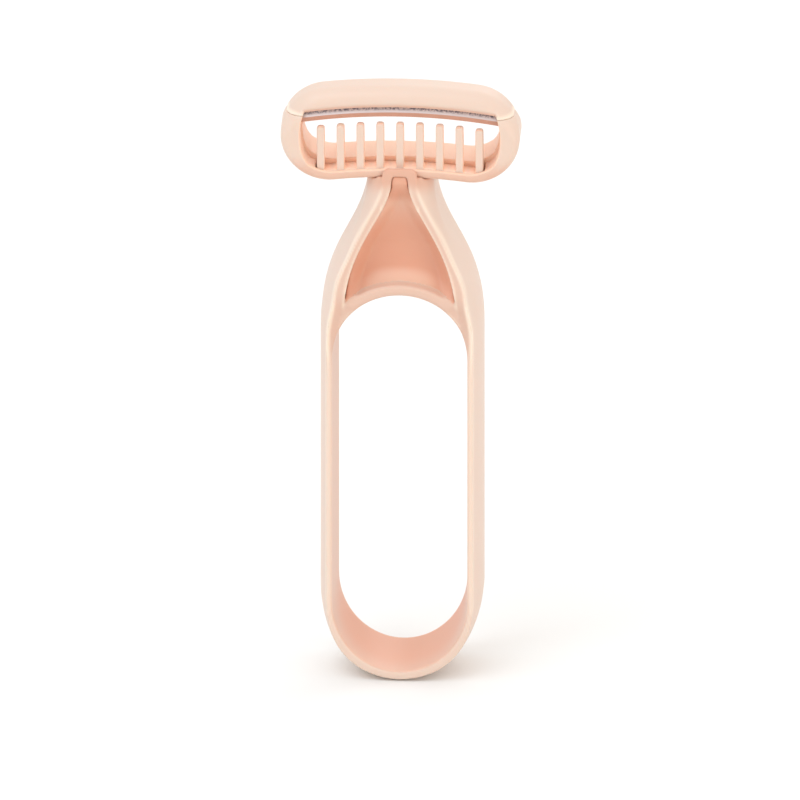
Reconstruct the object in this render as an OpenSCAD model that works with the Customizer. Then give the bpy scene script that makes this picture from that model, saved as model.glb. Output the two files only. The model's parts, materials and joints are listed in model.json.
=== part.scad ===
// A cartridge razor with a loop handle: an arched, stadium-shaped head with one blade and a comb of
// teeth pivots on top of a flared neck, and the neck opens into a long finger loop.
// +Z runs up the handle to the head, -Y is the shaving side, and +X is across the head.
// Heights are measured from the foot of the loop; in_frame() puts the origin in the middle of the loop.

/* [Loop] */
// Outer width of the finger loop
loop_w = 33.7; // [30:0.1:36]
// Outer width of the loop's front face, which is narrower than its middle
loop_front_w = 30.2; // [29:0.1:32]
// Depth of the loop band, front to back
loop_depth = 16; // [14:0.5:18]
// Width of the loop's opening
hole_w = 27.3; // [25:0.1:28]
// Height of the rounded foot, from its lowest point to the straight sides
foot_rise = 17.8; // [17:0.1:20]
// Thickness of the foot at its lowest point
foot_t = 2.6; // [2:0.1:3.5]
// Height of the centre of the arch that closes the opening
arch_z = 72.3; // [68:0.1:75]
// Height of the point that the razor is held at, which is the origin
grip_z = 44; // [40:1:50]

/* [Neck] */
// Height at which the loop's sides begin to close in towards the neck
shoulder_z = 75; // [70:0.5:76]
// Height of the neck's top deck, just under the head
deck_z = 112.5; // [112:0.1:112.6]
// Width of the neck at its top
neck_w = 13.6; // [13:0.1:15]
// Slope of the rear of the deck, which leaves room for the head to tilt
deck_slope = 25; // [24:1:30]
// Width of the crown that stands in front of the head's lower rim
crown_w = 7; // [6:0.1:8]
// Height of the crown's top
crown_z = 115.6; // [115:0.1:117]
// Height of the thumb recess's top edge
recess_z = 112.4; // [112:0.1:112.4]
// Thickness of the panel in the thumb recess
panel_t = 1; // [0.8:0.1:1.2]

/* [Head] */
// Width of the head
head_w = 49.5; // [47:0.5:52]
// Height of the head
head_h = 20; // [20:0.1:20.4]
// Depth of the head, front to back
head_depth = 13.5; // [13.5:0.1:13.6]
// Height of the head's middle line at its centre
head_z = 123; // [123:0.05:123.2]
// Radius of the gentle arch that the whole head follows
bow_r = 120; // [100:5:150]
// Thickness of the ring at its ends
ring_t = 3.85; // [3.6:0.05:3.9]
// Height of the joint between the frame and the cap
parting_z = 126.7; // [126.6:0.05:126.8]

/* [Comb] */
// Number of teeth
teeth = 9; // [7:2:9]
// Distance between neighbouring teeth
pitch = 4.1; // [4:0.05:4.2]
// Thickness of each tooth across the head
tooth_t = 1.6; // [1.2:0.1:1.8]
// Height of the middle tooth's tip
tooth_tip_z = 125.1; // [124:0.1:126]

/* [Blade] */
// Tilt of the blade from the shaving plane
blade_tilt = 35; // [30:1:38]
// Width of the blade from edge to spine
blade_w = 4.4; // [4:0.1:4.5]
// Thickness of the blade
blade_t = 0.3; // [0.2:0.05:0.35]
// Half the blade's length, along the head
blade_half = 20.8; // [20:0.1:21]
// Half the length of the blade that shows
window_half = 19.8; // [19:0.1:20]

/* [Pivot] */
// Distance of the pivot behind the middle of the neck
pivot_y = 0.6; // [0.5:0.1:0.7]
// Height of the pivot
pivot_z = 109.9; // [109.8:0.1:110]
// Radius of the steel pivot pin
pin_r = 0.8; // [0.7:0.05:0.9]
// Radius of the return plunger
plunger_r = 1.35; // [1.2:0.05:1.4]
// Distance of the plunger behind the middle of the neck
plunger_y = 3.6; // [3.5:0.1:3.7]

/* [Hidden] */
shell_pink = [0.96, 0.84, 0.77];
panel_salmon = [0.90, 0.66, 0.55];
seat_brown = [0.72, 0.48, 0.38];
steel = [0.72, 0.73, 0.75];

over = 1;                                    // how far a cut runs past what it cuts
gap = 0.05;                                  // room between two pieces that are clipped together
run = 0.03;                                  // radial room of a part that turns on its pin
loop_half = loop_w / 2;
hole_half = hole_w / 2;
half_depth = loop_depth / 2;
front_half = loop_front_w / 2;
side_slope = (loop_half - front_half) / half_depth;
neck_half = neck_w / 2;
deck_break = 0.2;                            // where the deck starts to slope down, towards the back
rear_y = 6.2;                                // depth of the neck's rear face at the deck
rear_z = deck_z - (rear_y - deck_break) * tan(deck_slope);
deck_front_y = -6.6;                         // depth of the neck's front face at the deck
// Control points of the neck's curves: its sides as [x, z], then its front and rear faces as [y, z].
neck_side = [[loop_half, shoulder_z], [loop_half + 0.25, 94], [neck_half + 0.8, 97], [neck_half, deck_z]];
neck_front = [[deck_front_y, deck_z], [-7, 107], [-half_depth, 102], [-half_depth, 94]];
neck_rear = [[half_depth, 88], [half_depth, 98], [rear_y + 0.7, 104], [rear_y, rear_z]];
crown_front_y = -7.7;
crown_back_y = -6.9;
crown_foot_z = 103;
crown_round = 2;                             // height of the crown's rounded top
crown_bevel = [0.4, 0.6];                    // depth and height of the bevel along the crown's top
lip_y = -6.2;                                // front of the lip under the thumb recess
lip_r = 16.3;                                // radius of that lip, round the centre of the arch
lip_z = arch_z + lip_r;
lip_sweep = 65;                              // half the angle that the lip and the panel sweep through
panel_y = -1.6;                              // front of the thumb panel where it is deepest
panel_top_y = -4.4;                          // front of the thumb panel at its top
recess_foot_z = 79;
recess_foot_half = 11.7;
recess_top_half = 1.5;
// Control points of the recess's edge as [x, z], and of the panel's lower front as [y, z].
recess_edge = [[recess_foot_half, recess_foot_z], [recess_foot_half + 0.4, 97], [3.1, 103.5],
               [recess_top_half, recess_z]];
panel_foot = [[panel_y - 0.3, 98], [panel_y + 0.4, 93], [panel_y - 0.4, 89.4], [lip_y, lip_z]];

half_head = head_h / 2;
front_y = -head_depth / 2;
bow_z = head_z - bow_r;                      // height of the centre of the head's arch
inner_r = 7;                                 // half the height of the ring's opening
inner_half = head_w / 2 - ring_t;            // the ring's opening is a stadium with its ends cut square here
stadium_half = 21.2;                         // half the width of that stadium
opening_z = 123.1;                           // middle of the ring's opening
rebate = 0.9;                                // the opening is this much larger in front of the step
step_y = -2.05;                              // depth of that step
floor_z = opening_z - inner_r - rebate;      // floor of the rebate, and top of the comb's base
base_t = 1.3;                                // thickness of the comb's base
lip_t = 0.8;                                 // thickness of the frame's front lip
frame_foot_z = head_z - head_h;              // a height below all of the frame
lean_z = 119.5;                              // where the frame's rear face begins to lean forward
comb_half = 17.4;                            // half the length of the comb's base
floor_wall = 0.8;                            // least thickness of the frame under the comb's base
cap_lip_z = 128.9;                           // lower edge of the cap in front of the blade
cap_rear_y = 1.5;
cap_round = 3.4;                             // radius of the cap's front edge
cap_wall = 1.1;                              // least thickness of the cap over the blade
edge_y = -5.7;                               // the cutting edge at the middle of the head
edge_z = 127.65;
seat_back_y = -0.9;
seat_top_z = 130.6;
seat_rear_z = 128.4;                         // where the seat's back begins to slope forward
seat_foot_z = 126.2;
seat_foot_y = [-4.5, -1.6];                  // front and back of the seat's underside
seat_in = 0.45;                              // distance of the seat's front behind the cutting edge
hone = 0.25;                                 // width of the honed face at the cutting edge
window_back_y = -4;                          // how far back the cap is cut away to show the blade
peg_r = 0.6;
peg_x = 22.05;
peg_y = -2.6;
peg_len = 2.4;
blade_pegs = [-14, 0, 14];                   // places of the seat's pegs along the head
blade_peg_in = 2.6;                          // distance of those pegs from the cutting edge
blade_peg_len = 1.3;
tooth_d = 1.7;                               // depth of a tooth's upright part
tooth_root = 0.4;                            // how far a tooth runs down into the base
fin_foot_z = 0.6;                            // height of a fin's back above the base
fin_top_z = 7;                               // height above the base at which a fin meets its tooth

ear_in = 3.6;                                // inner face of each ear of the shoe
ear_t = 1.2;
ear_r = 2.2;
slot_room = 0.15;                            // room on each side of an ear in its slot
shoe_half = 5.2;
shoe_front = -1.6;
shoe_back = 4.2;
shoe_under = 113;
shoe_top = 114.6;
shoe_room = 0.1;                             // room round the shoe in the head's socket
slot_front = 0.4;                            // room in front of an ear, under it and behind it
slot_under = 0.3;
slot_behind = 0.8;
bore_room = 0.07;                            // radial room round the plunger
tip_gap = 0.03;                              // room between the plunger's tip and the shoe at rest
spring_z = 98;                               // foot of the plunger's bore
plunger_foot = 103.2;
wire_r = 0.2;
spring_r = 0.95;                             // radius of the coil at the middle of the wire
coil_turns = 6;
coil_sides = 8;
coil_steps = 16;                             // rings of the swept wire in each turn

module in_frame() translate([0, 0, -grip_z]) children();

// A point of a cubic curve with the control points c, and n + 1 points along it.
function on_curve(c, t) = pow(1 - t, 3) * c[0] + 3 * t * pow(1 - t, 2) * c[1]
                          + 3 * t * t * (1 - t) * c[2] + pow(t, 3) * c[3];
function curve(c, n = 16) = [for (i = [0 : n]) on_curve(c, i / n)];
function mirrored(points) = [for (i = [len(points) - 1 : -1 : 0]) [-points[i][0], points[i][1]]];
function elliptic(half_w, half_h, mid_z, n = 32) =
    [for (i = [0 : n]) [half_w * cos(-90 + 90 * i / n), mid_z + half_h * sin(-90 + 90 * i / n)]];

// Pushes a front-view outline, drawn as [x, z], from y0 back to y1.
module front_view(y0, y1) translate([0, y1, 0]) rotate([90, 0, 0]) linear_extrude(y1 - y0) children();
// Pushes a side-view outline, drawn as [y, z], across x0 to x1.
module side_view(x0, x1)
    translate([x0, 0, 0]) rotate([90, 0, 90]) linear_extrude(x1 - x0) children();
// Sweeps a side-view outline round the front-to-back line at the height mid_z, a degrees each way.
module swept(outline, mid_z, a)
    translate([0, 0, mid_z]) rotate([90, 0, 0]) rotate([0, 0, 90 - a])
        rotate_extrude(angle = 2 * a, $fn = 720)
            polygon([for (p = outline) [p[1] - mid_z, -p[0]]]);
// The same along the head's arch, as far as half on each side of the middle at the first point's height.
module along_bow(outline, half) swept(outline, bow_z, asin(half / (outline[0][1] - bow_z)));
// Puts its children at x along the head's arch, square to it.
module on_bow(x)
    translate([0, 0, bow_z]) rotate([0, asin(x / bow_r), 0]) translate([0, 0, -bow_z]) children();
// A stadium bent along the head's arch, drawn as [x, z].
module bent_stadium(half_w, half_h, mid_z) {
    a = asin((half_w - half_h) / bow_r);
    r = mid_z - bow_z;
    reach = 1.3 * r;
    translate([0, bow_z]) intersection() {
        difference() {
            circle(r = r + half_h, $fn = 720);
            circle(r = r - half_h, $fn = 720);
        }
        polygon([[0, 0], [reach * sin(a), reach * cos(a)], [-reach * sin(a), reach * cos(a)]]);
    }
    for (s = [-1, 1])
        translate([s * r * sin(a), bow_z + r * cos(a)]) circle(r = half_h, $fn = 120);
}

// The handle's outline from the foot up the right side to the deck, and its mirror image.
function handle_side() = concat(elliptic(loop_half, foot_rise, foot_rise), curve(neck_side));
// The thumb panel's front surface in side view, from its top down and forward to the lip, or a surface
// the distance back behind it.
function panel_line(back) = concat(
    [[panel_top_y + back, recess_z]],
    curve([panel_foot[0] + [back, 0], panel_foot[1] + [back, 0], panel_foot[2] + [back, -back],
           panel_foot[3] + [0, -back]], 12));

module handle_outline() polygon(concat(handle_side(), mirrored(handle_side())));
module recess_outline(room = 0)
    polygon([for (p = concat(curve(recess_edge), mirrored(curve(recess_edge))))
        [p[0] - room * sign(p[0]), min(p[1], recess_z - room)]]);
module crown_outline() {
    shoulder = crown_z - crown_round;
    translate([-crown_w / 2, crown_foot_z]) square([crown_w, shoulder - crown_foot_z]);
    translate([0, shoulder]) intersection() {
        translate([-crown_w / 2, -over]) square([crown_w, crown_round + over]);
        circle(d = crown_w, $fn = 64);
    }
}
module foot_outline() polygon(concat(elliptic(hole_half, foot_rise - foot_t, foot_rise),
                                     mirrored(elliptic(hole_half, foot_rise - foot_t, foot_rise))));

// One moulding: the loop, the neck and the crown, with room for the pivot and its return plunger.
module handle() in_frame() color(shell_pink) difference() {
    union() {
        intersection() {
            front_view(-half_depth, half_depth) handle_outline();
            side_view(-loop_w, loop_w) polygon(concat(
                [[-half_depth, -over], [half_depth, -over]], curve(neck_rear),
                [[deck_break, deck_z]], curve(neck_front)));
            translate([0, 0, -over]) linear_extrude(deck_z + 2 * over) polygon([
                [-front_half, -half_depth], [front_half, -half_depth],
                [front_half + side_slope * loop_depth, half_depth],
                [-front_half - side_slope * loop_depth, half_depth]]);
        }
        intersection() {
            front_view(-half_depth, half_depth) crown_outline();
            side_view(-loop_w, loop_w) polygon([
                [crown_front_y, crown_foot_z], [crown_back_y, crown_foot_z + 1], [crown_back_y, crown_z],
                [crown_front_y + crown_bevel[0], crown_z], [crown_front_y, crown_z - crown_bevel[1]]]);
        }
    }
    front_view(-half_depth - over, half_depth + over) {
        translate([0, arch_z]) circle(r = hole_half, $fn = 120);
        translate([-hole_half, foot_rise]) square([hole_w, arch_z - foot_rise]);
        foot_outline();
    }
    intersection() {
        front_view(-half_depth - over, half_depth) recess_outline();
        swept(concat(panel_line(panel_t), [[lip_y, arch_z + over], [-half_depth - over, arch_z + over],
                     [-half_depth - over, recess_z + over], [panel_top_y + panel_t, recess_z + over]]),
              arch_z, lip_sweep);
    }
    for (x = [-ear_in - ear_t, ear_in])
        translate([x - slot_room, pivot_y - ear_r - slot_front, pivot_z - ear_r - slot_under])
            cube([ear_t + 2 * slot_room, 2 * ear_r + slot_front + 2 * slot_room + 2 * slot_behind + over,
                  deck_z - pivot_z + ear_r + slot_under + over]);
    translate([0, pivot_y, pivot_z]) rotate([0, 90, 0])
        cylinder(r = pin_r, h = 2 * ear_in, center = true, $fn = 48);
    translate([0, plunger_y, spring_z])
        cylinder(r = plunger_r + bore_room, h = deck_z - spring_z + over, $fn = 48);
}

module thumb_panel() in_frame() color(panel_salmon) intersection() {
    front_view(-half_depth - over, half_depth) recess_outline(gap);
    front = panel_line(0);
    back = panel_line(panel_t);
    swept(concat(front, [for (i = [len(back) - 1 : -1 : 0]) back[i] - [gap, -gap]]), arch_z, lip_sweep);
}

module pivot_pin() in_frame() color(steel)
    translate([0, pivot_y, pivot_z]) rotate([0, 90, 0])
        cylinder(r = pin_r, h = 2 * (ear_in + ear_t - 0.1), center = true, $fn = 48);

// A wire swept round the plunger's axis; its ends lie flat between the bore's foot and the plunger.
function coil_point(i, k) =
    let (turn = i / coil_steps, a = 360 * turn, b = 360 * k / coil_sides,
         rise = (plunger_foot - spring_z - 2 * wire_r - 2 * gap) * turn / coil_turns)
    [(spring_r + wire_r * cos(b)) * cos(a), (spring_r + wire_r * cos(b)) * sin(a),
     rise + wire_r + gap + wire_r * sin(b)];
module return_spring() in_frame() color(steel) translate([0, plunger_y, spring_z]) {
    rings = coil_turns * coil_steps;
    polyhedron(
        [for (i = [0 : rings], k = [0 : coil_sides - 1]) coil_point(i, k)],
        concat([[for (k = [0 : coil_sides - 1]) k]],
               [for (i = [0 : rings - 1], k = [0 : coil_sides - 1])
                   let (n = (k + 1) % coil_sides, p = i * coil_sides, q = p + coil_sides)
                   [p + k, q + k, q + n, p + n]],
               [[for (k = [coil_sides - 1 : -1 : 0]) rings * coil_sides + k]]));
}

module return_plunger() in_frame() color("white") translate([0, plunger_y, 0]) {
    translate([0, 0, plunger_foot])
        cylinder(r = plunger_r, h = shoe_under - tip_gap - plunger_r - plunger_foot, $fn = 48);
    translate([0, 0, shoe_under - tip_gap - plunger_r]) sphere(r = plunger_r, $fn = 48);
}

// The piece that stays on the neck when the cartridge is pulled off: a plate and two ears.
module pivot_shoe() in_frame() color(panel_salmon) {
    translate([-shoe_half, shoe_front, shoe_under])
        cube([2 * shoe_half, shoe_back - shoe_front, shoe_top - shoe_under]);
    for (x = [-ear_in - ear_t, ear_in])
        difference() {
            side_view(x, x + ear_t) {
                translate([pivot_y, pivot_z]) circle(r = ear_r, $fn = 48);
                translate([pivot_y - ear_r, pivot_z]) square([2 * ear_r, shoe_under - pivot_z + gap]);
            }
            translate([x - over, pivot_y, pivot_z]) rotate([0, 90, 0])
                cylinder(r = pin_r + run, h = ear_t + 2 * over, $fn = 48);
        }
}

// The blade's section and the seat's, in side view at the middle of the head.
function in_blade(s, t) =
    [edge_y + s * sin(blade_tilt) + t * cos(blade_tilt), edge_z + s * cos(blade_tilt) - t * sin(blade_tilt)];
function seat_line(room) = [
    in_blade(seat_in - room, blade_t + gap - room), in_blade(blade_w + room, blade_t + gap - room),
    [seat_back_y + room, seat_top_z + room], [seat_back_y + room, seat_rear_z],
    [seat_foot_y[1] + room, seat_foot_z - room], [seat_foot_y[0] - room, seat_foot_z - room]];
function blade_line(room) = [
    in_blade(-room, -room), in_blade(blade_w + room, -room),
    in_blade(blade_w + room, blade_t + room), in_blade(hone - room, blade_t + room)];

module head_section(y0, y1) front_view(y0, y1) bent_stadium(head_w / 2, half_head, head_z);
// The outline that the blade and its seat are trimmed to, so that the cap and frame close round them.
module trim(room) front_view(front_y, -front_y)
    bent_stadium(head_w / 2 - cap_wall + room, half_head - cap_wall + room, head_z);
module blade_room() intersection() {
    union() {
        along_bow(seat_line(gap), blade_half + gap);
        along_bow(blade_line(gap), blade_half + gap);
    }
    trim(gap);
}
module cap_pegs(room) for (x = [-peg_x, peg_x])
    translate([x, peg_y, parting_z - peg_len - room])
        cylinder(r = peg_r + room, h = peg_len + room + peg_r, $fn = 32);
// The comb's base, trimmed to the ring so that some of the frame stays under it, up to the height top.
module comb_base(room, top) intersection() {
    along_bow([[front_y + lip_t - room, floor_z - base_t - room],
               [step_y + room - gap, floor_z - base_t - room],
               [step_y + room - gap, top], [front_y + lip_t - room, top]], comb_half + room);
    front_view(front_y, -front_y)
        bent_stadium(head_w / 2 - floor_wall + room, half_head - floor_wall + room, head_z);
}

// The ring's opening, larger all round by the amount more, but never wider than its square ends.
module opening(more) intersection() {
    bent_stadium(stadium_half + more, inner_r + more, opening_z);
    translate([-inner_half, opening_z - head_h / 2]) square([2 * inner_half, head_h]);
}

module head_frame() in_frame() color(shell_pink) difference() {
    intersection() {
        head_section(front_y, -front_y);
        side_view(-head_w, head_w) polygon([
            [front_y, frame_foot_z], [-front_y - 1, frame_foot_z], [-front_y, shoe_under + 1],
            [-front_y, lean_z], [cap_rear_y, parting_z], [front_y, parting_z]]);
    }
    front_view(front_y - over, -front_y + over) opening(0);
    front_view(front_y - over, step_y) opening(rebate);
    comb_base(gap, floor_z + base_t);
    blade_room();
    cap_pegs(0.02);
    translate([-shoe_half - shoe_room, shoe_front - shoe_room, shoe_under - head_h / 2])
        cube([2 * shoe_half + 2 * shoe_room, shoe_back - shoe_front + 2 * shoe_room,
              shoe_top + gap - shoe_under + head_h / 2]);
}

// A base with a row of fins, each deep at its root and slim at its tip.
module comb() in_frame() color(shell_pink) {
    comb_base(0, floor_z);
    for (i = [0 : teeth - 1]) {
        x = (i - (teeth - 1) / 2) * pitch;
        drop = x * x / (2 * bow_r);
        back = front_y + lip_t + tooth_d;
        front_view(front_y + lip_t, back) translate([x, -drop]) {
            translate([-tooth_t / 2, floor_z - tooth_root])
                square([tooth_t, tooth_tip_z - tooth_t / 2 - floor_z + tooth_root]);
            translate([0, tooth_tip_z - tooth_t / 2]) circle(d = tooth_t, $fn = 32);
        }
        side_view(x - tooth_t / 2, x + tooth_t / 2) translate([0, -drop])
            polygon([[back - gap, floor_z - tooth_root], [step_y - 0.2, floor_z - tooth_root],
                     [step_y - 0.2, floor_z + fin_foot_z], [back - gap, floor_z + fin_top_z]]);
    }
}

module seat_pegs(room) for (x = blade_pegs) on_bow(x)
    translate([0, in_blade(blade_peg_in, 0)[0], in_blade(blade_peg_in, 0)[1]])
        rotate([90 + blade_tilt, 0, 0]) translate([0, 0, -blade_peg_len / 2])
            cylinder(r = peg_r + room, h = blade_peg_len + room, $fn = 32);

module blade_seat() in_frame() color(seat_brown) {
    intersection() {
        along_bow(seat_line(0), blade_half);
        trim(0);
    }
    seat_pegs(0);
}

module blade() in_frame() color(steel) difference() {
    intersection() {
        along_bow(blade_line(0), blade_half);
        trim(0);
    }
    seat_pegs(gap);
}

// The cap's section in side view: flat below and behind, and well rounded in front.
function cap_line() = concat(
    [[front_y, head_z], [cap_rear_y, head_z], [cap_rear_y, head_z + half_head - 1],
     [cap_rear_y - 1, head_z + half_head]],
    [for (i = [0 : 12]) [front_y + cap_round - cap_round * sin(90 * i / 12),
                         head_z + half_head - cap_round + cap_round * cos(90 * i / 12)]]);

module blade_cap() in_frame() color(shell_pink) {
    difference() {
        intersection() {
            head_section(front_y, cap_rear_y);
            along_bow(cap_line(), head_w / 2);
            translate([-head_w, front_y - over, parting_z + gap]) cube([2 * head_w, head_depth, head_h]);
        }
        along_bow([[front_y - over, head_z], [window_back_y, head_z],
                   [window_back_y, cap_lip_z], [front_y - over, cap_lip_z]], window_half);
        blade_room();
        seat_pegs(gap);
    }
    cap_pegs(0);
}

handle();
thumb_panel();
pivot_pin();
return_spring();
return_plunger();
pivot_shoe();
head_frame();
comb();
blade_seat();
blade();
blade_cap();
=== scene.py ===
"""The looks of a cartridge razor with a loop handle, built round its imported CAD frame.

The five mouldings that show are signed distance fields, in millimetres, meshed where they cross zero.
The blade, its seat and the small parts of the pivot keep their CAD meshes. Positions come from the
frame's boxes and joints, and heights are measured from the foot of the loop, as in the CAD model.
"""
import json
import math

import bpy
import numpy as np
import openvdb
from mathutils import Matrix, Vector


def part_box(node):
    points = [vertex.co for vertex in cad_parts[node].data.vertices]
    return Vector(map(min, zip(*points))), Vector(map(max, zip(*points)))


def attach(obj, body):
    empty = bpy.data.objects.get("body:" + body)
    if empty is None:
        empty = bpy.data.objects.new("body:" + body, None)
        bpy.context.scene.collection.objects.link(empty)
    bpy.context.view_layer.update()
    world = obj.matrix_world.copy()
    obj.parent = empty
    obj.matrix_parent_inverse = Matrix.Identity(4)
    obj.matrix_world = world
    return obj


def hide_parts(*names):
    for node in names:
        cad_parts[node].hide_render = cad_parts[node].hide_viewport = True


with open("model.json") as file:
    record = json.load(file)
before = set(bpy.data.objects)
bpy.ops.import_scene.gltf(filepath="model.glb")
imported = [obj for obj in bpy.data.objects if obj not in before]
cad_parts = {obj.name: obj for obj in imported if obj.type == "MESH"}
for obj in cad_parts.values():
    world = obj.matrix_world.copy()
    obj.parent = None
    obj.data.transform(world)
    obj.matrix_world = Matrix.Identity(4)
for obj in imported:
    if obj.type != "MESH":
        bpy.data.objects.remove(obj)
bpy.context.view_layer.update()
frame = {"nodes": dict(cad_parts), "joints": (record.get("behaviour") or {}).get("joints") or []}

MM = 0.001


def box_mm(node):
    """The lowest and highest corner of a CAD node, in millimetres."""
    low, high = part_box(node)
    return np.array(low) / MM, np.array(high) / MM


# From the frame
handle_low, handle_high = box_mm("handle")
head_low, head_high = box_mm("head_frame")
FOOT = handle_low[2]
LOOP_HALF, HALF_DEPTH, CROWN_Z = handle_high[0], handle_high[1], handle_high[2] - FOOT
HEAD_HALF, HEAD_FRONT, HEAD_REAR = head_high[0], head_low[1], head_high[1]
PARTING_Z = head_high[2] - FOOT
CAP_REAR = box_mm("blade_cap")[1][1]
pivot = next(j for j in frame["joints"] if j["name"] == "head_pivot")
PIVOT_Y, PIVOT_Z = pivot["pos_m"][1] / MM, pivot["pos_m"][2] / MM - FOOT
PLUNGER_Y = float(sum(corner[1] for corner in box_mm("return_plunger"))) / 2

# The loop: its rounded foot, its opening, and how far inside its outline the crest in front runs
FOOT_RISE, FOOT_T, HOLE_HALF, HOLE_DRAFT = 17.8, 2.6, 13.65, 0.05
ARCH_Z, SHOULDER_Z = 72.3, 75.0
LOOP_TAPER, FOOT_TAPER = 1.75, 0.35

# The neck: how far outside the recess its crest runs, and how much more at the shoulder; the slope of
# the crest's outer side in degrees; how hollow its inner side is; how far front and back draw in upwards
NECK_HALF, CREST, CREST_MORE = 6.8, 1.8, 0.6
LOOP_SLOPE, NECK_SLOPE = 77, 38
SHOULDER_DIP, NECK_DIP = 0.85, 0.35
NECK_FRONT_IN, NECK_REAR_IN = 0.3, 1.8

# The neck's top deck, which slopes down behind DECK_BREAK, the rim along its front, and the crown
DECK_Z, DECK_BREAK, DECK_SLOPE = 112.5, 0.2, math.radians(25)
RIM_H, RIM_Y, HEAD_GAP = 1.1, -4.6, 0.12
CROWN_FRONT, CROWN_BACK, CROWN_FOOT = -7.7, -6.9, 104.0
CROWN_HALF, CROWN_TAPER = 3.9, 0.4

# The thumb recess and its panel, which sweeps out to a lip round the loop's arch
RECESS_Z, RECESS_TOP, RECESS_HALF = 112.35, 113.9, 11.7
FLOOR_Y, FLOOR_RISE, FLOOR_TOP_RISE, FLOOR_EDGE_RISE = -1.75, 2.65, 2.95, 2.5
LIP_Y, LIP_R, LIP_BACK_R, COVE_R = -6.2, 16.3, 13.4, 5.2
PANEL_T, PANEL_TOP_T, PANEL_EDGE, PANEL_LOW_R = 1.0, 0.4, 0.12, 17.2

# The pivot's slots and bore in the neck
SLOT_X, SLOT_HALF, SLOT_FRONT, SLOT_BACK, SLOT_DEPTH = 4.2, 0.75, 2.6, 4.8, 2.5
BORE_R, BORE_DEPTH = 1.42, 6.0

# The head: an arched ring, rounder in front towards its top, with an opening that steps in at STEP_Y
BOW_R, HEAD_Z, HEAD_H = 120.0, 123.0, 10.0
BOW_Z = HEAD_Z - BOW_R
FRONT_ROUND, TOP_ROUND_MORE, REAR_ROUND, OPENING_ROUND = 1.5, 1.9, 2.4, 2.4
OPENING_HALF, SQUARE_HALF, OPENING_Z, OPENING_H = 21.2, 20.9, 123.1, 7.0
REBATE, STEP_Y, LEAN_Z = 0.9, -2.05, 119.5
FLOOR_Z = OPENING_Z - OPENING_H - REBATE
SHOE_HALF, SHOE_FRONT, SHOE_BACK, SHOE_TOP = 5.3, -1.7, 4.3, 114.65

# The cap, its bevel over the blade, and the room for the blade and its seat
CAP_LIP_Z, WINDOW_HALF, WINDOW_Y, BEVEL_RISE = 128.9, 19.8, -3.4, 1.0
SEAT_FRONT, SEAT_BACK, SEAT_LOW, SEAT_HALF = -5.9, -0.85, 126.1, 21.0
PART_GAP = 0.03

# The comb: a base in the rebate, and teeth with a gusset behind each
TEETH, PITCH, TOOTH_T, TOOTH_DEPTH = 9, 4.1, 1.6, 1.7
TIP_Z = box_mm("comb")[1][2] - FOOT
LIP_T, BASE_HALF, BASE_T, COMB_GAP = 0.8, 17.35, 1.3, 0.06
GUSSET_LEAN, GUSSET_H = math.atan2(2.2, 6.4), 7.0


# ---------------------------------------------------------------- distance fields
def both(a, b, r=0.0):
    """Where a and b overlap, with the edge between them rounded to r."""
    return np.minimum(np.maximum(a, b), -r) + np.hypot(np.maximum(a + r, 0), np.maximum(b + r, 0))


def either(a, b, r=0.0):
    """a and b together, with a fillet of r where they meet."""
    return np.maximum(np.minimum(a, b), r) - np.hypot(np.maximum(r - a, 0), np.maximum(r - b, 0))


def without(a, b, r=0.0):
    return both(a, -b, r)


def slab(v, low, high):
    return np.maximum(low - v, v - high)


def rise(v, start, end):
    """A smooth step from 0 at start to 1 at end, whichever of the two is higher."""
    t = np.clip((v - start) / (end - start), 0, 1)
    return t * t * (3 - 2 * t)


def line_glow(v, middle, width):
    """A bell curve, 1 in its middle."""
    return np.exp(-((v - middle) / width) ** 2)


def bezier(points, n=24):
    t = np.linspace(0, 1, n + 1)[:, None]
    p = [np.array(q, float) for q in points]
    return (1 - t) ** 3 * p[0] + 3 * t * (1 - t) ** 2 * p[1] + 3 * t * t * (1 - t) * p[2] + t ** 3 * p[3]


def quarter_ellipse(half_w, half_h, mid, start, end, n):
    a = np.linspace(start, end, n + 1)
    return np.stack([half_w * np.cos(a), mid + half_h * np.sin(a)], 1)


def side_distance(line, x, z):
    """Signed distance to a closed shape that is its own mirror image, from its right-hand outline."""
    best, inside = np.full(np.broadcast(x, z).shape, 1e9), np.zeros(np.broadcast(x, z).shape, bool)
    for (x0, z0), (x1, z1) in zip(line[:-1], line[1:]):
        ex, ez = x1 - x0, z1 - z0
        if not ex * ex + ez * ez:
            continue
        t = np.clip(((x - x0) * ex + (z - z0) * ez) / (ex * ex + ez * ez), 0, 1)
        best = np.minimum(best, (x - x0 - ex * t) ** 2 + (z - z0 - ez * t) ** 2)
        if ez:
            inside ^= ((z0 <= z) != (z1 <= z)) & (x < x0 + (z - z0) * ex / ez)
    return np.where(inside, -1, 1) * np.sqrt(best)


def stadium(x, up, half_w, half_h, mid):
    """Signed distance to a stadium bent along the head's arch."""
    r, a = mid - BOW_Z, math.asin((half_w - half_h) / BOW_R)
    ax, dz = np.abs(x), up - BOW_Z
    on_arc = np.abs(np.hypot(ax, dz) - r) - half_h
    at_end = np.hypot(ax - r * math.sin(a), dz - r * math.cos(a)) - half_h
    return np.where(np.arctan2(ax, dz) < a, on_arc, at_end)


def bow_height(x, up):
    """Height above the foot once the head's arch is straightened out."""
    return np.hypot(x, up - BOW_Z) + BOW_Z


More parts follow.
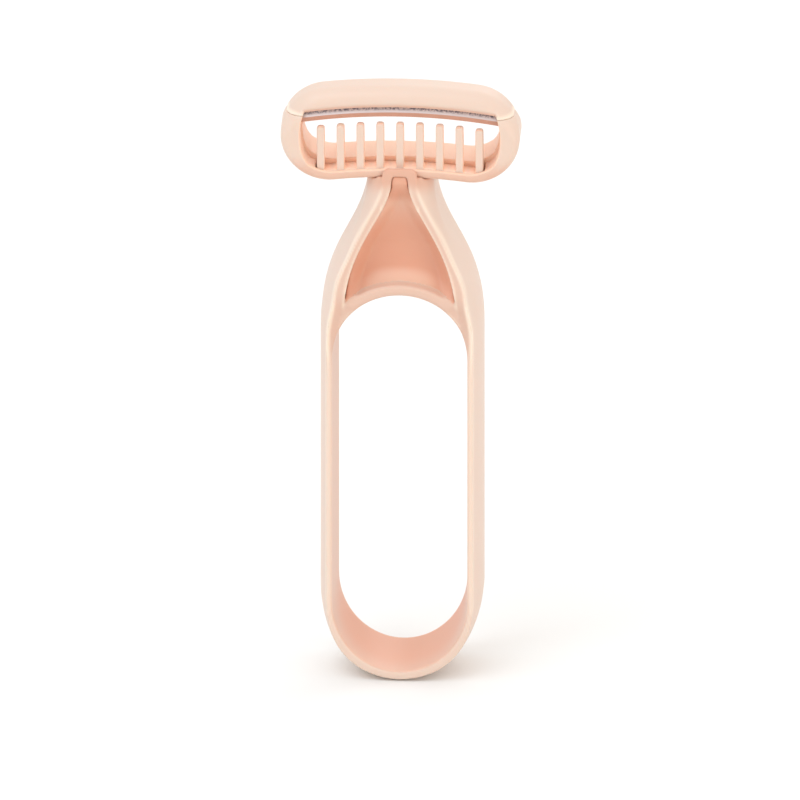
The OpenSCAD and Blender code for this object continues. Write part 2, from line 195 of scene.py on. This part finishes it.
# ---------------------------------------------------------------- outlines, right-hand side
neck_top = DECK_Z + 12                       # well above the deck, which cuts the neck off
recess_low = 60                              # well below the lip, which closes the recess
turn_z = RECESS_Z - 0.8                      # where the recess's edge turns upright
OUTER_LINE = np.concatenate([
    quarter_ellipse(LOOP_HALF, FOOT_RISE, FOOT_RISE, -math.pi / 2, 0, 28),
    bezier([(LOOP_HALF, SHOULDER_Z), (LOOP_HALF + 0.25, 94), (NECK_HALF + 0.8, 97), (NECK_HALF, DECK_Z)]),
    [(NECK_HALF, neck_top), (0, neck_top)]])
HOLE_LINE = np.concatenate([
    quarter_ellipse(HOLE_HALF, FOOT_RISE - FOOT_T, FOOT_RISE, -math.pi / 2, 0, 28),
    quarter_ellipse(HOLE_HALF, HOLE_HALF, ARCH_Z, 0, math.pi / 2, 24)])
RECESS_LINE = np.concatenate([
    [(0, recess_low), (RECESS_HALF, recess_low)],
    bezier([(RECESS_HALF, 79), (RECESS_HALF + 0.4, 97), (3.1, 103.5), (1.75, turn_z)]),
    bezier([(1.75, turn_z), (1.7, RECESS_TOP - 0.3), (1.5, RECESS_TOP), (0.8, RECESS_TOP)], 8),
    [(0, RECESS_TOP)]])


# ---------------------------------------------------------------- the handle's pieces
def recess(x, y, up):
    """The thumb recess: what lies behind its floor, its outline, and the distance from the arch's centre."""
    r = np.hypot(x, up - ARCH_Z)
    wall = side_distance(RECESS_LINE, np.abs(x), up)
    floor_y = FLOOR_Y - FLOOR_RISE * np.clip((r - 25) / 15, 0, 1) - FLOOR_TOP_RISE * rise(up, 106.5, 112.6)
    floor_y = floor_y - FLOOR_EDGE_RISE * rise(wall, -3.2, 0) * rise(up, 112, 103)
    lip = both(both(r - LIP_R, LIP_Y - y, 0.45), LIP_BACK_R - r, 1.9)
    return either(floor_y - y, lip, COVE_R), wall, r


def panel_depth(up):
    """The panel's thickness, which is less where it runs up into the crown."""
    return PANEL_T - (PANEL_T - PANEL_TOP_T) * rise(up, 111, 112.5)


def crest_distance(x, up):
    """Distance outside the crest that runs along the handle's front, negative inside it."""
    ax = np.abs(x)
    taper = FOOT_TAPER + (LOOP_TAPER - FOOT_TAPER) * rise(up, 0, 18)
    loop = side_distance(OUTER_LINE, ax, up) + taper
    neck = side_distance(RECESS_LINE, ax, up) - CREST - CREST_MORE * rise(up, 96, 88)
    on_neck = rise(up, 78, 88)
    return loop * (1 - on_neck) + neck * on_neck


def loop_and_neck(x, y, up):
    """The handle without its openings: rounded outside, with a crest along the front."""
    outline = side_distance(OUTER_LINE, np.abs(x), up)
    edge = crest_distance(x, up)
    front = -HALF_DEPTH + NECK_FRONT_IN * rise(up, 100, 112)
    rear = HALF_DEPTH - NECK_REAR_IN * rise(up, 90, 109)
    slope = np.radians(LOOP_SLOPE - (LOOP_SLOPE - NECK_SLOPE) * rise(up, 92, 108))
    outside = (front - y) * np.cos(slope) + edge * np.sin(slope)
    shoulder_dip = SHOULDER_DIP * rise(up, 68, 77) * rise(up, 88, 82) * np.clip(-edge, 0, 2.3)
    neck_dip = NECK_DIP * rise(up, 84, 92) * np.clip(-edge / 1.5, 0, 1)
    body = both(outline, outside, 0.8 + 1.2 * rise(up, 86, 96))
    return both(both(body, front - y + shoulder_dip + neck_dip, 0.2), y - rear, 0.9)


def deck(x, y, up):
    """What the neck's top leaves below it: a deck that slopes down behind, and a rim that clears the ring."""
    level = up - DECK_Z - RIM_H * rise(y, RIM_Y, RIM_Y - 0.6)
    behind = (up - DECK_Z) * math.cos(DECK_SLOPE) + (y - DECK_BREAK) * math.sin(DECK_SLOPE)
    ring = head_shell(x, y, up, y - HEAD_REAR)
    return both(np.maximum(level, behind), HEAD_GAP - ring, 0.1)


def crown(x, y, up):
    """The small plate that stands in front of the head's lower rim."""
    half = CROWN_HALF - CROWN_TAPER * rise(up, 110, 116)
    plate = both(both(np.abs(x) - half, up - CROWN_Z, 1.2), slab(y, CROWN_FRONT, CROWN_BACK), 0.35)
    return both(plate, CROWN_FOOT - up, 0.2)


def pivot_room(x, y, up):
    """The two slots for the shoe's ears, and the plunger's bore."""
    along = slab(y, PIVOT_Y - SLOT_FRONT, PIVOT_Y + SLOT_BACK)
    slots = np.maximum(np.maximum(np.abs(np.abs(x) - SLOT_X) - SLOT_HALF, along), PIVOT_Z - SLOT_DEPTH - up)
    bore = np.maximum(np.hypot(x, y - PLUNGER_Y) - BORE_R, PIVOT_Z - BORE_DEPTH - up)
    return np.minimum(slots, bore)


def handle_field(x, y, z):
    up = z - FOOT
    body = both(loop_and_neck(x, y, up), deck(x, y, up), 0.3)
    body = either(body, crown(x, y, up), 0.3)
    body = without(body, side_distance(HOLE_LINE, np.abs(x), up) + HOLE_DRAFT * y, 0.45)
    behind, wall, r = recess(x, y, up)
    body = without(body, both(wall, -behind), 0.2)
    pocket = both(both(wall, -(behind + panel_depth(up))), PANEL_LOW_R - r)
    return np.maximum(without(body, pocket), -pivot_room(x, y, up))


def panel_field(x, y, z):
    up = z - FOOT
    behind, wall, r = recess(x, y, up)
    sheet = np.maximum(behind - 0.02, 0.05 - behind - panel_depth(up))
    sheet = np.maximum(both(sheet, wall + PANEL_EDGE, 0.15), PANEL_LOW_R - 0.5 - r)
    return np.maximum(sheet, np.minimum(up - DECK_Z, y - CROWN_BACK))


# ---------------------------------------------------------------- the head's pieces
def head_shell(x, y, up, rear):
    """The head's outside, closed at the back by the distance behind its rear face."""
    outline = stadium(x, up, HEAD_HALF, HEAD_H, HEAD_Z)
    front_round = FRONT_ROUND + TOP_ROUND_MORE * rise(up, 121, 127)
    return both(both(outline, HEAD_FRONT - y, front_round), rear, REAR_ROUND)


def opening(x, up, more):
    """The ring's opening: a bent stadium with its ends cut nearly square."""
    bent = stadium(x, up, OPENING_HALF + more, OPENING_H + more, OPENING_Z)
    return both(bent, np.abs(x) - SQUARE_HALF, OPENING_ROUND)


def clipped_room(x, y, up):
    """Room in the ring for the comb's base, the blade's seat and the pivot's shoe."""
    ax, flat = np.abs(x), bow_height(x, up)
    base = np.maximum(slab(y, HEAD_FRONT + LIP_T - COMB_GAP, STEP_Y + 0.02), ax - BASE_HALF - 0.15)
    base = np.maximum(base, slab(flat, FLOOR_Z - BASE_T - 0.05, FLOOR_Z + 2))
    base = np.maximum(base, stadium(x, up, HEAD_HALF - LIP_T + COMB_GAP, HEAD_H - LIP_T + COMB_GAP, HEAD_Z))
    seat = np.maximum(np.maximum(slab(y, SEAT_FRONT, SEAT_BACK), ax - SEAT_HALF), SEAT_LOW - flat)
    shoe = np.maximum(np.maximum(ax - SHOE_HALF, slab(y, SHOE_FRONT, SHOE_BACK)), up - SHOE_TOP)
    return np.minimum(np.minimum(base, seat), shoe)


def frame_field(x, y, z):
    up = z - FOOT
    lean = math.atan2(HEAD_REAR - CAP_REAR, PARTING_Z - LEAN_Z)
    leaning = (y - HEAD_REAR) * math.cos(lean) + (up - LEAN_Z) * math.sin(lean)
    body = head_shell(x, y, up, both(y - HEAD_REAR, leaning, 4.0))
    body = without(body, opening(x, up, 0), 0.5)
    body = without(body, both(opening(x, up, REBATE), y - STEP_Y, 0.15), 0.35)
    body = np.maximum(body, -clipped_room(x, y, up))
    return both(body, up - PARTING_Z + PART_GAP, 0.15)


def cap_field(x, y, z):
    up = z - FOOT
    flat, ax = bow_height(x, up), np.abs(x)
    window = both(both(flat - CAP_LIP_Z, ax - WINDOW_HALF, 0.3), y - WINDOW_Y)
    bevel = 0.8 * (y - HEAD_FRONT) + 0.6 * (flat - CAP_LIP_Z - BEVEL_RISE)
    body = without(head_shell(x, y, up, y - CAP_REAR), both(bevel, ax - WINDOW_HALF - 0.2, 0.3), 0.25)
    return both(without(body, window, 0.12), PARTING_Z + PART_GAP - up, 0.15)


def tooth(x, y, up):
    """The comb's tooth nearest to x: an upright post with a gusset that leans against its back."""
    nearest = PITCH * np.clip(np.round(x / PITCH), -(TEETH // 2), TEETH // 2)
    height = up + nearest ** 2 / (2 * BOW_R)
    side = np.abs(x - nearest) - TOOTH_T / 2
    front, back = HEAD_FRONT + LIP_T, HEAD_FRONT + LIP_T + TOOTH_DEPTH
    post = both(both(side, height - TIP_Z, 0.55), slab(y, front, back), 0.3)
    leaning = (y - back) * math.cos(GUSSET_LEAN) + (height - FLOOR_Z - GUSSET_H) * math.sin(GUSSET_LEAN)
    gusset = both(both(side + 0.1, leaning, 0.25), y - STEP_Y + 0.25, 0.2)
    return both(either(post, both(gusset, front + 0.6 - y), 0.3), FLOOR_Z - 0.6 - height)


def comb_field(x, y, z):
    up = z - FOOT
    flat = bow_height(x, up)
    base = both(slab(y, HEAD_FRONT + LIP_T, STEP_Y - COMB_GAP), slab(flat, FLOOR_Z - BASE_T, FLOOR_Z), 0.15)
    base = both(base, np.abs(x) - BASE_HALF, 0.2)
    base = np.maximum(base, stadium(x, up, HEAD_HALF - LIP_T, HEAD_H - LIP_T, HEAD_Z))
    return either(base, tooth(x, y, up), 0.25)


# ---------------------------------------------------------------- meshing
# How far to look for hollows, which get painted shade, and for edges, which get a painted highlight
HOLLOW_REACHES, EDGE_REACH = (1.0, 2.5, 5.0), 0.8
EDGE_GAIN, EDGE_START = 1.3, 0.1


def add_object(name, points, faces):
    mesh = bpy.data.meshes.new(name)
    mesh.from_pydata([tuple(p) for p in points], [], [tuple(f) for f in faces])
    mesh.validate()
    mesh.polygons.foreach_set("use_smooth", [True] * len(mesh.polygons))
    obj = bpy.data.objects.new(name, mesh)
    bpy.context.scene.collection.objects.link(obj)
    return obj


def gradient(field, p, step=0.02):
    g = np.empty_like(p)
    for k in range(3):
        d = np.zeros(3)
        d[k] = step
        g[:, k] = (field(*(p + d).T) - field(*(p - d).T)) / (2 * step)
    return g


def mould(name, node, field, voxel, tone=None, room=0.8):
    """Meshes a field where it crosses zero, in a CAD node's box and some room round it.

    The mesh's points are then moved onto the true surface, by at most half a voxel at a time.
    """
    low, high = box_mm(node)
    axes = [np.arange(low[k] - room, high[k] + room + voxel, voxel) for k in range(3)]
    x, y, z = np.meshgrid(*axes, indexing="ij", sparse=True)
    values = np.broadcast_to(field(x, y, z), [len(a) for a in axes])
    volume = openvdb.FloatGrid(10.0)
    volume.copyFromArray(np.ascontiguousarray(values, np.float32))
    points, quads = volume.convertToQuads(isovalue=0.0)
    points = np.array([a[0] for a in axes]) + points.astype(float) * voxel
    for _ in range(2):
        g = gradient(field, points)
        move = -field(*points.T)[:, None] * g / np.maximum((g * g).sum(1), 0.25)[:, None]
        points = points + np.clip(move, -voxel / 2, voxel / 2)
    a, b, c = (points[quads[:, k]] for k in range(3))
    if np.einsum("ij,ij->i", a, np.cross(b, c)).sum() < 0:
        quads = quads[:, ::-1]
    obj = add_object(name, points * MM, quads.tolist())
    shade(obj, field, points, tone)
    return obj


def shade(obj, field, points, tone):
    """Stores three numbers from 0 to 1 at each point, which the plastics read.

    hollow says how closed in the point is, which the plastics turn into painted shade; edge how sharp an
    edge it lies on, which they turn into a painted highlight; and the third how much painted warm shade it
    gets, which only a tone function sets.
    """
    normal = gradient(field, points)
    normal /= np.maximum(np.linalg.norm(normal, axis=1), 1e-6)[:, None]
    hollow, painted_warm_shade = np.zeros(len(points)), np.zeros(len(points))
    # painted shade: the more closed in a point is, the deeper the plastics colour it
    for reach in HOLLOW_REACHES:
        hollow += np.clip(1 - field(*(points + normal * reach).T) / reach, 0, 1) / len(HOLLOW_REACHES)
    # painted highlight: the thinner the edge, the paler the plastics colour it
    thin = 1 + field(*(points - normal * EDGE_REACH).T) / EDGE_REACH
    edge = np.clip(EDGE_GAIN * thin - EDGE_START, 0, 1)
    if tone:
        # the tone functions add painted light and shade, including the painted warm shade
        hollow, edge, painted_warm_shade = tone(hollow, edge, *points.T)
    for name, value in (("hollow", hollow), ("edge", edge), ("painted_warm_shade", painted_warm_shade)):
        attribute = obj.data.attributes.new(name, "FLOAT", "POINT")
        attribute.data.foreach_set("value", np.clip(value, 0, 1).astype(np.float32))


def handle_tone(hollow, edge, x, y, z):
    """Painted shade, warm under the head, on the strip inside the crest and inside the loop, and deep inside
    the foot; painted light, pale behind the lip.

    Painted highlights run as fine pale lines along the crest and the recess's edge.
    """
    up, ax = z - FOOT, np.abs(x)
    r = np.hypot(x, up - ARCH_Z)
    wall = side_distance(RECESS_LINE, ax, up)
    crest = crest_distance(x, up)
    inside = rise(np.abs(side_distance(HOLE_LINE, ax, up) + HOLE_DRAFT * y), 0.4, 0)
    # painted shade of the head on the neck's top
    under_head = 0.95 * rise(up, 108.5, 113.5)
    # painted shade on the strip between crest and recess, which slopes inward
    strip = rise(crest, -0.2, -0.8) * rise(y, -4, -5.5) * rise(up, 68, 78)
    # painted light: paler behind the lip, against the shade in its cove
    behind_lip = rise(r, LIP_R - 0.6, LIP_R) * rise(r, 19, 17.5) * rise(wall, 0.5, -0.5)
    # painted shade inside the foot, deepest towards the back
    hollow = hollow + inside * rise(up, 24, 2) * (0.4 + 0.6 * rise(y, -8, 4))
    hollow = hollow * (1 - 0.8 * behind_lip)
    # painted highlights along the crest and the recess's rim
    painted_crest_highlight = 0.75 * line_glow(crest, 0, 0.35) * rise(up, 60, 90)
    painted_rim_highlight = 0.8 * line_glow(wall, 0.15, 0.3) * rise(up, 80, 84)
    lines = np.maximum(painted_crest_highlight, painted_rim_highlight) * rise(y, -6, -6.8) * rise(up, 112.5, 109.5)
    # the painted edge highlight fades under the head and at the foot
    edge = edge * (1 - under_head) * (0.4 + 0.6 * rise(up, 4, 20))
    # painted warm shade under the head, on the strip and inside the loop
    painted_warm_shade = np.maximum(np.maximum(under_head, 0.4 * strip), 0.3 * inside)
    return hollow * (1 - lines), np.maximum(edge, lines), painted_warm_shade


def panel_tone(hollow, edge, x, y, z):
    """Painted light and shade: pale where the panel sweeps out to the lip, deepest just above that, and paler
    again higher up.
    """
    r = np.hypot(x, z - FOOT - ARCH_Z)
    # painted light on the ramp, strongest in the middle, and painted light higher up that lifts the shade
    sweep = rise(r, 21, 17) * (1 - 0.5 * rise(np.abs(x), 4, 10))
    above = rise(r, 22, 36) * (1 - rise(z - FOOT, 106, 111))
    return (1 - 0.75 * above) * (1 - 0.95 * sweep), edge, 0 * x


def head_tone(hollow, edge, x, y, z):
    """Painted light inside the opening, where a paler, more saturated pink lifts its shade, and painted warm
    shade on the ring's underside.
    """
    up = z - FOOT
    rebate = np.where(y < STEP_Y, np.abs(opening(x, up, REBATE)), REBATE)
    inside = rise(np.minimum(np.abs(opening(x, up, 0)), rebate), 0.4, 0.15)
    inside = inside * np.where(y < STEP_Y, 0.6, 0.85)
    # painted warm shade on the ring's lower front, which faces down
    painted_warm_shade = 0.75 * rise(up, 118.5, 113.5) * rise(y, -2.5, -4.5) * (1 - inside)
    return np.maximum(1.5 * hollow, inside), edge, painted_warm_shade


def cap_tone(hollow, edge, x, y, z):
    """Painted warm shade on the bevel over the blade, which turns down and in."""
    below = rise(bow_height(x, z - FOOT), CAP_LIP_Z + 1.1, CAP_LIP_Z + 0.3)
    return hollow, edge, 0.6 * below * rise(np.abs(x), WINDOW_HALF + 0.6, WINDOW_HALF - 0.2)


handle = mould("handle_moulding", "handle", handle_field, voxel=0.34, tone=handle_tone)
panel = mould("thumb_panel_moulding", "thumb_panel", panel_field, voxel=0.22, tone=panel_tone, room=1.8)
head = mould("head_ring_moulding", "head_frame", frame_field, voxel=0.24, tone=head_tone)
cap = mould("cap_moulding", "blade_cap", cap_field, voxel=0.24, tone=cap_tone)
comb = mould("comb_moulding", "comb", comb_field, voxel=0.17)


# ---------------------------------------------------------------- shader nodes
def node_tree(name):
    material = bpy.data.materials.new(name)
    material.use_nodes = True
    tree = material.node_tree
    return material, tree, tree.nodes["Principled BSDF"]


def add_node(tree, kind, **values):
    node = tree.nodes.new(kind)
    for key, value in values.items():
        node.inputs[key].default_value = value
    return node


def object_place(tree):
    return tree.nodes.new("ShaderNodeTexCoord").outputs["Object"]


def noise(tree, where, scale, detail, roughness=0.5):
    node = add_node(tree, "ShaderNodeTexNoise", Scale=scale, Detail=detail, Roughness=roughness)
    tree.links.new(where, node.inputs["Vector"])
    return node.outputs["Fac"]


def attribute(tree, name):
    node = tree.nodes.new("ShaderNodeAttribute")
    node.attribute_name = name
    return node.outputs["Fac"]


def remap(tree, value, low=0.0, high=1.0, start=0.0, end=1.0, kind="LINEAR"):
    """Goes from start, where the value is low or less, to end, where it is high or more."""
    node = tree.nodes.new("ShaderNodeMapRange")
    node.interpolation_type = kind
    tree.links.new(value, node.inputs["Value"])
    for key, number in (("From Min", low), ("From Max", high), ("To Min", start), ("To Max", end)):
        node.inputs[key].default_value = number
    return node.outputs["Result"]


def product(tree, a, b):
    """a times b, where b is a number or another output."""
    node = tree.nodes.new("ShaderNodeMath")
    node.operation = "MULTIPLY"
    tree.links.new(a, node.inputs[0])
    if isinstance(b, float):
        node.inputs[1].default_value = b
    else:
        tree.links.new(b, node.inputs[1])
    return node.outputs["Value"]


def mix_colour(tree, factor, a, b):
    node = tree.nodes.new("ShaderNodeMix")
    node.data_type = "RGBA"
    tree.links.new(factor, node.inputs[0])
    for socket, value in ((node.inputs[6], a), (node.inputs[7], b)):
        if isinstance(value, tuple):
            socket.default_value = (*value, 1)
        else:
            tree.links.new(value, socket)
    return node.outputs[2]


def bump(tree, shader, height, strength, distance):
    node = add_node(tree, "ShaderNodeBump", Strength=strength, Distance=distance)
    tree.links.new(height, node.inputs["Height"])
    tree.links.new(node.outputs["Normal"], shader.inputs["Normal"])


# ---------------------------------------------------------------- materials
# The shell's open colour, the painted shade it takes in hollows, the painted warm shade, and the painted
# highlight on edges
PALE, DEEP = (0.72, 0.56, 0.465), (0.74, 0.40, 0.28)
PAINTED_WARM_SHADE, PAINTED_EDGE_HIGHLIGHT = (0.68, 0.38, 0.27), (0.93, 0.80, 0.66)
# The dark specks are a painted shadow that the cap's lip casts on the top of the blade
LIP_SHADOW_DARK, LIP_SHADOW_FADE = (0.22, 0.20, 0.24), 0.35
BLADE_TOP_R = 124.95                         # radius of the arch outside which the blade gets dark specks, a painted shadow under the cap's lip


def moulded_plastic(name, pale, deep, roughness=0.42, edge_highlight=0.75):
    """Satin plastic, faintly clouded and fine-grained, with painted light and shade: paler on open faces and
    edges, deeper in hollows, warmer where painted warm shade is asked.
    """
    material, tree, shader = node_tree(name)
    where = object_place(tree)
    # Painted shade deepens hollows, painted warm shade warms where a tone asks, and a painted highlight pales
    # edges
    depth = remap(tree, attribute(tree, "hollow"), high=0.75, kind="SMOOTHSTEP")
    colour = mix_colour(tree, depth, pale, deep)
    colour = mix_colour(tree, attribute(tree, "painted_warm_shade"), colour, PAINTED_WARM_SHADE)
    colour = mix_colour(tree, product(tree, attribute(tree, "edge"), edge_highlight), colour, PAINTED_EDGE_HIGHLIGHT)
    clouds = remap(tree, noise(tree, where, scale=90.0, detail=3.0), end=0.10)
    tree.links.new(mix_colour(tree, clouds, colour, deep), shader.inputs["Base Color"])
    grain = noise(tree, where, scale=2600.0, detail=2.0, roughness=0.6)
    satin = remap(tree, grain, start=roughness - 0.05, end=roughness + 0.07)
    tree.links.new(satin, shader.inputs["Roughness"])
    bump(tree, shader, grain, strength=0.12, distance=0.00004)
    shader.inputs["Subsurface Weight"].default_value = 0.12
    shader.inputs["Subsurface Radius"].default_value = (1.0, 0.45, 0.3)
    shader.inputs["Subsurface Scale"].default_value = 0.0015
    return material


def painted_lip_shadow(tree, where, from_r):
    """How much of a dark speck covers each point, for points outside a radius round the head's arch: a
    painted shadow of the cap's lip on the blade.
    """
    flat = add_node(tree, "ShaderNodeMapping", Scale=(1, 0, 1), Location=(0, 0, -(BOW_Z + FOOT) * MM))
    tree.links.new(where, flat.inputs["Vector"])
    radius = tree.nodes.new("ShaderNodeVectorMath")
    radius.operation = "LENGTH"
    tree.links.new(flat.outputs["Vector"], radius.inputs[0])
    outside = remap(tree, radius.outputs["Value"], from_r * MM, (from_r + LIP_SHADOW_FADE) * MM)
    specks = remap(tree, noise(tree, where, scale=1900.0, detail=2.0, roughness=0.7), low=0.42, high=0.58)
    return product(tree, outside, specks)


def ground_steel(name, colour, stretch, roughness, lip_shadow_from=None):
    """Steel with fine grinding lines along one axis, and, if a radius is given, dark specks outside it as a
    painted shadow.
    """
    material, tree, shader = node_tree(name)
    where = object_place(tree)
    along = add_node(tree, "ShaderNodeMapping", Scale=stretch)
    tree.links.new(where, along.inputs["Vector"])
    lines = noise(tree, along.outputs["Vector"], scale=900.0, detail=4.0, roughness=0.65)
    darker = tuple(c * 0.72 for c in colour)
    base = mix_colour(tree, lines, darker, colour)
    if lip_shadow_from:
        base = mix_colour(tree, painted_lip_shadow(tree, where, lip_shadow_from), base, LIP_SHADOW_DARK)
    tree.links.new(base, shader.inputs["Base Color"])
    ground = remap(tree, lines, start=roughness - 0.08, end=roughness + 0.12)
    tree.links.new(ground, shader.inputs["Roughness"])
    bump(tree, shader, lines, strength=0.15, distance=0.00002)
    shader.inputs["Metallic"].default_value = 1.0
    return material


def shell_pink():
    return moulded_plastic("shell_pink", PALE, DEEP)


def head_pink():
    # Its deep colour is paler and pinker than PALE: painted bounce light that lifts the shade inside the ring
    # and among the teeth
    return moulded_plastic("head_pink", PALE, deep=(0.98, 0.65, 0.48), edge_highlight=0.05)


def panel_salmon():
    pale, deep = (0.80, 0.50, 0.375), (0.70, 0.32, 0.205)
    return moulded_plastic("panel_salmon", pale, deep, roughness=0.5, edge_highlight=0.1)


# The seat is the pink plastic darkened to brown: painted shade where it lies under the blade
def seat_brown():
    return moulded_plastic("seat_brown", pale=(0.60, 0.31, 0.22), deep=(0.50, 0.24, 0.16), roughness=0.5)


def plunger_nylon():
    pale, deep = (0.80, 0.78, 0.72), (0.62, 0.60, 0.54)
    return moulded_plastic("plunger_nylon", pale, deep, roughness=0.35)


def blade_steel():
    # The steel's pink tint is a painted reflection of the pink plastic round it
    pink_reflection_tint = (0.78, 0.68, 0.66)
    return ground_steel("blade_steel", pink_reflection_tint, stretch=(0.05, 1, 1), roughness=0.5, lip_shadow_from=BLADE_TOP_R)


def drawn_wire():
    return ground_steel("drawn_wire", (0.55, 0.55, 0.57), stretch=(1, 1, 0.1), roughness=0.3)


def dress(piece, body, node, material):
    """Gives a moulding its material, and puts it in place of its CAD node."""
    piece.data.materials.append(material)
    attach(piece, body)
    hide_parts(node)


def dress_node(node, material):
    materials = frame["nodes"][node].data.materials
    materials.clear()
    materials.append(material)


shell, inner, salmon, wire = shell_pink(), head_pink(), panel_salmon(), drawn_wire()
dress(handle, "handle", "handle", shell)
dress(panel, "handle", "thumb_panel", salmon)
dress(head, "cartridge", "head_frame", inner)
dress(cap, "cartridge", "blade_cap", shell)
dress(comb, "cartridge", "comb", inner)
dress_node("blade_seat", seat_brown())
dress_node("blade", blade_steel())
dress_node("pivot_pin", wire)
dress_node("return_spring", wire)
dress_node("return_plunger", plunger_nylon())
dress_node("pivot_shoe", salmon)


# ---------------------------------------------------------------- studio
FLOOR_HALF = 6.0
LIGHT_TARGET = Vector((0, 0, 0.02))
AZIMUTH, ELEVATION, FRAME_WIDTH, CAMERA_FAR = math.radians(3.0), math.radians(24.0), 0.1653, 2.0
AIM = Vector((-0.0003, 0, (FOOT + 60.1) * MM))


def pale_surface(name, colour):
    material, tree, shader = node_tree(name)
    mottle = noise(tree, object_place(tree), scale=3.0, detail=2.0)
    darker = tuple(c * 0.985 for c in colour)
    tree.links.new(mix_colour(tree, mottle, darker, colour), shader.inputs["Base Color"])
    shader.inputs["Roughness"].default_value = 0.9
    return material


def studio_floor():
    corners = [(-1, -1), (1, -1), (1, 1), (-1, 1)]
    floor = add_object("studio_floor", [(a * FLOOR_HALF, b * FLOOR_HALF, FOOT * MM) for a, b in corners],
                       [(0, 1, 2, 3)])
    floor.data.materials.append(pale_surface("floor_white", (0.86, 0.86, 0.85)))


def daylight(strength, colour):
    world = bpy.data.worlds.new("studio")
    bpy.context.scene.world = world
    world.use_nodes = True
    background = world.node_tree.nodes["Background"]
    background.inputs["Color"].default_value = (*colour, 1)
    background.inputs["Strength"].default_value = strength


def set_up(obj, spot, direction):
    """Puts a light or camera in its spot, looking along a direction."""
    obj.location = spot
    obj.rotation_euler = direction.to_track_quat("-Z", "Y").to_euler()
    bpy.context.scene.collection.objects.link(obj)


def soft_light(name, spot, size, power, colour):
    light = bpy.data.lights.new(name, "AREA")
    light.shape, light.size, light.energy, light.color = "DISK", size, power, colour
    set_up(bpy.data.objects.new(name, light), spot, LIGHT_TARGET - Vector(spot))


def parallel_camera():
    data = bpy.data.cameras.new("camera")
    data.type, data.ortho_scale, data.clip_end = "ORTHO", FRAME_WIDTH, 50
    camera = bpy.data.objects.new("camera", data)
    level = math.cos(ELEVATION)
    away = Vector((math.sin(AZIMUTH) * level, -math.cos(AZIMUTH) * level, math.sin(ELEVATION)))
    set_up(camera, AIM + away * CAMERA_FAR, -away)
    bpy.context.scene.camera = camera


studio_floor()
daylight(strength=1.06, colour=(1.0, 0.995, 0.985))
soft_light("key", (-0.4, -0.45, 1.0), size=0.8, power=3.4, colour=(0.80, 0.90, 1.0))
soft_light("fill", (0.75, -0.85, 0.2), size=0.6, power=1.7, colour=(1.0, 0.69, 0.44))
soft_light("back", (0.3, 1.0, 0.7), size=0.8, power=1.6, colour=(1.0, 0.98, 0.96))
parallel_camera()
bpy.context.scene.view_settings.view_transform = "Standard"
